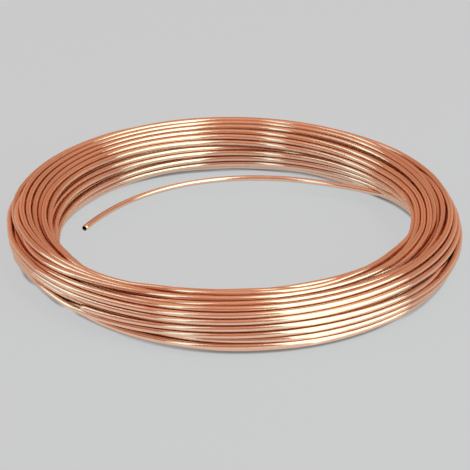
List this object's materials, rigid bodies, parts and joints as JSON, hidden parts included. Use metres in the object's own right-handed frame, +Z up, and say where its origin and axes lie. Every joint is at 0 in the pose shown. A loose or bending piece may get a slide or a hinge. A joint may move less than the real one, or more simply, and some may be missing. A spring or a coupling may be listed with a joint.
{
  "type": "copper tube coil",
  "caption": "Soft copper tube wound in a flat-lying coil, with a free inner end crossing the open eye and a cut outer end on the outer face.",
  "frame": {"origin": "on the coil's axis, at the floor that the bottom turns rest on", "axes": "+Z up along the coil's axis; +X to the side where the free inner end leaves the bundle; the tube's cut inner end is on the -X side and opens towards -Y"},
  "size_m": [0.47, 0.47, 0.052],
  "materials": {
    "copper": "bright drawn copper, lightly polished"
  },
  "bodies": {
    "root": {"tube_coil": "copper"}
  },
  "joints": []
}
